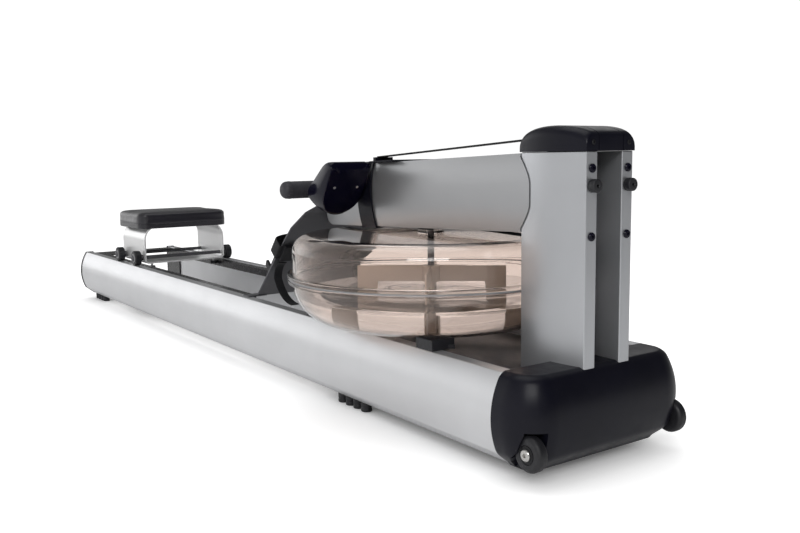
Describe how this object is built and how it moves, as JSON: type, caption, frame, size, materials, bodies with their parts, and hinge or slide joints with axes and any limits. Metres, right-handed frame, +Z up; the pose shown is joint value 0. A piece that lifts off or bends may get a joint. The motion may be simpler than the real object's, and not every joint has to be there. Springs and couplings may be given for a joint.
{
  "type": "water rowing machine",
  "caption": "Low rowing machine with a round water tank, a rolling seat on two rails, a tower with a belt and bar handle, and an adjustable footboard.",
  "frame": {"origin": "centre of the machine's outline on the floor", "axes": "+Y from the tank end to the seat end, +X to the right seen from the tank end, +Z up"},
  "size_m": [0.514, 2.135, 0.4908],
  "materials": {
    "silver_aluminium": "satin anodised, fine brushed along its length",
    "dark_steel": "dark powder coat",
    "bright_steel": "bright turned steel",
    "black_plastic": "fine moulded texture",
    "black_rubber": "matt rubber",
    "webbing": "woven webbing",
    "smoky_clear": "clear smoky brown-grey, polished",
    "water": "clear water",
    "grey_metal": "grey satin metal",
    "seat_foam": "dark moulded foam skin",
    "display": "grey display, switched off"
  },
  "bodies": {
    "frame": {"left_rail": "silver_aluminium", "right_rail": "silver_aluminium", "left_seat_track": "black_plastic", "right_seat_track": "black_plastic", "front_cap": "black_plastic", "left_rail_end_cap": "black_plastic", "right_rail_end_cap": "black_plastic", "rear_cross_member": "black_plastic", "tank_deck": "dark_steel", "left_upright": "silver_aluminium", "right_upright": "silver_aluminium", "left_top_cap": "black_plastic", "middle_top_cap": "black_plastic", "right_top_cap": "black_plastic", "left_bumper": "black_rubber", "right_bumper": "black_rubber", "left_beam": "silver_aluminium", "right_beam": "silver_aluminium", "beam_band": "black_plastic", "front_left_feet": "black_rubber", "front_right_feet": "black_rubber", "rear_left_feet": "black_rubber", "rear_right_feet": "black_rubber", "transport_axle": "bright_steel", "tank_lower_bowl": "smoky_clear", "tank_upper_bowl": "smoky_clear", "tank_joint_ring": "black_rubber", "water": "water", "tank_mat": "black_rubber", "top_pulley_axle": "bright_steel", "recoil_cord": "black_rubber", "drive_belt": "webbing", "monitor_arm": "black_plastic", "footboard": "silver_aluminium"},
    "left_transport_wheel": {"left_transport_wheel": "black_rubber"},
    "right_transport_wheel": {"right_transport_wheel": "black_rubber"},
    "paddle": {"paddle": "grey_metal"},
    "handle": {"handle": "black_rubber"},
    "top_pulley": {"top_pulley": "black_plastic"},
    "clutch_spool": {"clutch_spool": "black_plastic"},
    "recoil_pulley": {"recoil_pulley": "black_plastic"},
    "monitor": {"monitor_housing": "black_plastic", "monitor_screen": "display"},
    "button_1": {"monitor_button_1": "grey_metal"},
    "button_2": {"monitor_button_2": "grey_metal"},
    "button_3": {"monitor_button_3": "grey_metal"},
    "left_footrest": {"left_footrest": "black_plastic", "left_foot_strap": "webbing"},
    "right_footrest": {"right_footrest": "black_plastic", "right_foot_strap": "webbing"},
    "seat": {"seat_pad": "seat_foam", "seat_frame": "silver_aluminium", "front_seat_axle": "dark_steel", "rear_seat_axle": "dark_steel"},
    "front_left_seat_wheel": {"front_left_seat_wheel": "black_rubber"},
    "front_right_seat_wheel": {"front_right_seat_wheel": "black_rubber"},
    "rear_left_seat_wheel": {"rear_left_seat_wheel": "black_rubber"},
    "rear_right_seat_wheel": {"rear_right_seat_wheel": "black_rubber"},
    "left_guide_roller": {"left_guide_roller": "black_plastic"},
    "right_guide_roller": {"right_guide_roller": "black_plastic"}
  },
  "joints": [
    {"name": "left_transport_wheel_spin", "type": "hinge", "parent": "frame", "child": "left_transport_wheel", "pos_m": [-0.146, -1.0418, 0.051], "axis": [1, 0, 0], "continuous": true},
    {"name": "right_transport_wheel_spin", "type": "hinge", "parent": "frame", "child": "right_transport_wheel", "pos_m": [0.146, -1.0418, 0.051], "axis": [1, 0, 0], "continuous": true},
    {"name": "paddle_spin", "type": "hinge", "parent": "frame", "child": "paddle", "pos_m": [0, -0.6295, 0.25], "axis": [0, 0, 1], "continuous": true},
    {"name": "handle_pull", "type": "slide", "parent": "frame", "child": "handle", "axis": [0, 1, 0], "range_m": [0, 1.05]},
    {"name": "top_pulley_spin", "type": "hinge", "parent": "frame", "child": "top_pulley", "pos_m": [0, -0.9695, 0.441], "axis": [1, 0, 0], "continuous": true},
    {"name": "clutch_spool_spin", "type": "hinge", "parent": "frame", "child": "clutch_spool", "pos_m": [0, -0.6295, 0.344], "axis": [0, 0, 1], "continuous": true},
    {"name": "recoil_pulley_spin", "type": "hinge", "parent": "frame", "child": "recoil_pulley", "pos_m": [0, -0.9445, 0.296], "axis": [1, 0, 0], "continuous": true},
    {"name": "monitor_tilt", "type": "hinge", "parent": "frame", "child": "monitor", "pos_m": [-0.07, -0.50492, 0.405], "axis": [1, 0, 0], "range_deg": [-15, 15]},
    {"name": "button_1_press", "type": "slide", "parent": "monitor", "child": "button_1", "axis": [0, -0.6011, -0.7992], "range_m": [0, 0.001], "stiffness_N_per_m": 400},
    {"name": "button_2_press", "type": "slide", "parent": "monitor", "child": "button_2", "axis": [0, -0.6011, -0.7992], "range_m": [0, 0.001], "stiffness_N_per_m": 400},
    {"name": "button_3_press", "type": "slide", "parent": "monitor", "child": "button_3", "axis": [0, -0.6011, -0.7992], "range_m": [0, 0.001], "stiffness_N_per_m": 400},
    {"name": "left_footrest_slide", "type": "slide", "parent": "frame", "child": "left_footrest", "axis": [0, -0.6677, 0.7444], "range_m": [-0.008, 0.05]},
    {"name": "right_footrest_slide", "type": "slide", "parent": "frame", "child": "right_footrest", "axis": [0, -0.6677, 0.7444], "range_m": [-0.008, 0.05]},
    {"name": "seat_roll", "type": "slide", "parent": "frame", "child": "seat", "axis": [0, 1, 0], "range_m": [-0.62, 0.25]},
    {"name": "front_left_seat_wheel_spin", "type": "hinge", "parent": "seat", "child": "front_left_seat_wheel", "pos_m": [-0.138, 0.5835, 0.1738], "axis": [1, 0, 0], "continuous": true},
    {"name": "front_right_seat_wheel_spin", "type": "hinge", "parent": "seat", "child": "front_right_seat_wheel", "pos_m": [0.138, 0.5835, 0.1738], "axis": [1, 0, 0], "continuous": true},
    {"name": "rear_left_seat_wheel_spin", "type": "hinge", "parent": "seat", "child": "rear_left_seat_wheel", "pos_m": [-0.138, 0.7315, 0.1738], "axis": [1, 0, 0], "continuous": true},
    {"name": "rear_right_seat_wheel_spin", "type": "hinge", "parent": "seat", "child": "rear_right_seat_wheel", "pos_m": [0.138, 0.7315, 0.1738], "axis": [1, 0, 0], "continuous": true},
    {"name": "left_guide_roller_spin", "type": "hinge", "parent": "seat", "child": "left_guide_roller", "pos_m": [-0.0942, 0.5825, 0.1445], "axis": [0, 0, 1], "continuous": true},
    {"name": "right_guide_roller_spin", "type": "hinge", "parent": "seat", "child": "right_guide_roller", "pos_m": [0.0942, 0.5825, 0.1445], "axis": [0, 0, 1], "continuous": true}
  ],
  "couplings": [
    {"joint": "top_pulley_spin", "follows": "handle_pull", "rad_per_m": -26.954},
    {"joint": "clutch_spool_spin", "follows": "handle_pull", "rad_per_m": 49.751},
    {"joint": "recoil_pulley_spin", "follows": "handle_pull", "rad_per_m": -36.329},
    {"joint": "front_left_seat_wheel_spin", "follows": "seat_roll", "rad_per_m": -48.78},
    {"joint": "front_right_seat_wheel_spin", "follows": "seat_roll", "rad_per_m": -48.78},
    {"joint": "rear_left_seat_wheel_spin", "follows": "seat_roll", "rad_per_m": -48.78},
    {"joint": "rear_right_seat_wheel_spin", "follows": "seat_roll", "rad_per_m": -48.78}
  ]
}
